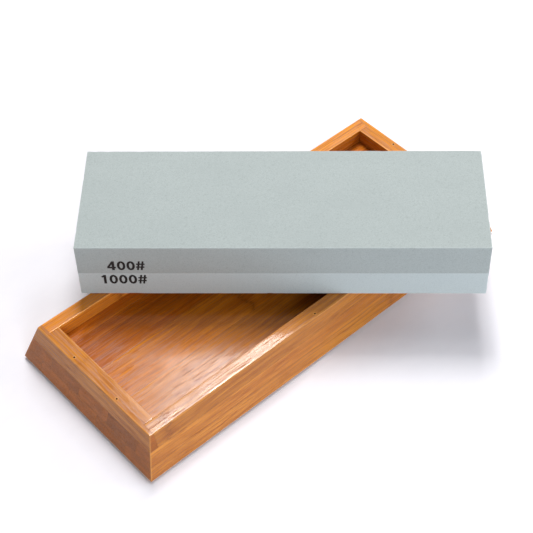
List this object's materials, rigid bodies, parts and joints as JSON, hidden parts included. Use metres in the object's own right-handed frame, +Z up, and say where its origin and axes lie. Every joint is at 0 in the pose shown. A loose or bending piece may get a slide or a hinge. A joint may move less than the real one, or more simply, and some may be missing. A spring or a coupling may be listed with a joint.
{
  "type": "sharpening whetstone",
  "caption": "Combination-grit rectangular sharpening stone lying crosswise over a shallow laminated bamboo tray with a pinned rim and thin rubber feet.",
  "frame": {"origin": "on the ground under the centre of the tray", "axes": "+X along the tray towards its far end, +Y across it towards its back rail, +Z up"},
  "size_m": [0.2102, 0.1658, 0.0521],
  "materials": {
    "coarse_grit": "matt, very finely speckled grey-green",
    "fine_grit": "matt, smooth light grey",
    "bamboo_board": "carbonised bamboo under clear lacquer",
    "bamboo_rail": "carbonised bamboo under clear lacquer",
    "brad_steel": "bare wire",
    "rubber_foot": "matt black"
  },
  "bodies": {
    "tray": {"lower_strip_1": "bamboo_board", "lower_strip_2": "bamboo_board", "lower_strip_3": "bamboo_board", "lower_strip_4": "bamboo_board", "lower_strip_5": "bamboo_board", "upper_strip_1": "bamboo_board", "upper_strip_2": "bamboo_board", "upper_strip_3": "bamboo_board", "upper_strip_4": "bamboo_board", "upper_strip_5": "bamboo_board", "near_end_rail": "bamboo_rail", "far_end_rail": "bamboo_rail", "front_side_rail": "bamboo_rail", "back_side_rail": "bamboo_rail", "near_brad_left": "brad_steel", "near_brad_right": "brad_steel", "far_brad_left": "brad_steel", "far_brad_right": "brad_steel", "front_brad": "brad_steel", "back_brad": "brad_steel", "foot_near_front": "rubber_foot", "foot_near_back": "rubber_foot", "foot_far_front": "rubber_foot", "foot_far_back": "rubber_foot"},
    "stone": {"coarse_stone": "coarse_grit", "fine_stone": "fine_grit"}
  },
  "joints": [
    {"name": "stone_lift", "type": "slide", "parent": "tray", "child": "stone", "axis": [0, 0, 1], "range_m": [0, 0.08]}
  ]
}
